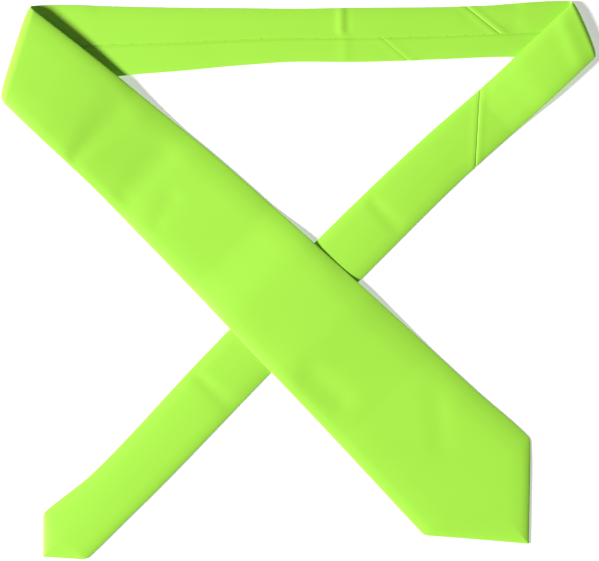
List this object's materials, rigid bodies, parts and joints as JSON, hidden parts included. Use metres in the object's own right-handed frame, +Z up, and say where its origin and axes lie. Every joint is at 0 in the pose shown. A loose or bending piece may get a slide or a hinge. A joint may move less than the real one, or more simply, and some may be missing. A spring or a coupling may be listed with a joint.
{
  "type": "necktie",
  "caption": "Lime satin necktie laid flat: neck band back up, wide blade and narrow tail folded back over it and crossing, with keeper loop and tipping on the back.",
  "frame": {"origin": "on the table, under the middle of the whole tie as it lies", "axes": "+Z up from the table; +X along the neck band towards the narrow tail's fold; +Y from the points towards the neck band"},
  "size_m": [0.4174, 0.3896, 0.0134],
  "materials": {
    "lime_satin": "satin",
    "interlining": "matt brushed wool blend",
    "lime_thread": "spun thread",
    "tipping": "plain lining",
    "label": "woven, blank",
    "label_thread": "spun thread"
  },
  "bodies": {
    "neck_band": {"blade_cloth_on_band": "lime_satin", "neck_cloth_on_band": "lime_satin", "blade_neck_seam": "lime_thread", "blade_interlining_in_neck": "interlining", "tail_interlining_in_neck": "interlining", "interlining_lap": "lime_thread", "slip_stitch_in_neck": "lime_thread", "left_fold_cloth": "lime_satin", "left_fold_interlining": "interlining", "right_fold_cloth": "lime_satin", "right_fold_interlining": "interlining"},
    "wide_blade": {"blade_cloth": "lime_satin", "blade_interlining": "interlining", "blade_tipping": "tipping", "blade_tipping_stitches": "lime_thread", "blade_slip_stitch": "lime_thread", "blade_bar_tack": "lime_thread", "keeper_loop": "lime_satin", "keeper_loop_tacks": "lime_thread", "maker_label": "label", "maker_label_tacks": "label_thread"},
    "tail": {"neck_cloth_on_tail": "lime_satin", "tail_cloth": "lime_satin", "neck_tail_seam": "lime_thread", "tail_interlining": "interlining", "tail_tipping": "tipping", "tail_tipping_stitches": "lime_thread", "tail_slip_stitch": "lime_thread", "tail_bar_tack": "lime_thread", "care_label": "label", "care_label_tacks": "label_thread"}
  },
  "joints": [
    {"name": "blade_fold", "type": "hinge", "parent": "neck_band", "child": "wide_blade", "pos_m": [-0.1928, 0.1597, 0.0067], "axis": [-0.3024, -0.9532, 0], "range_deg": [0, 175], "deforming": ["left_fold_cloth", "left_fold_interlining"]},
    {"name": "tail_fold", "type": "hinge", "parent": "neck_band", "child": "tail", "pos_m": [0.1973, 0.1757, 0.0042], "axis": [-0.3971, 0.9178, 0], "range_deg": [0, 87.5], "deforming": ["right_fold_cloth", "right_fold_interlining"]}
  ],
  "couplings": [
    {"joint": "tail_fold", "follows": "blade_fold", "ratio": 0.5}
  ]
}
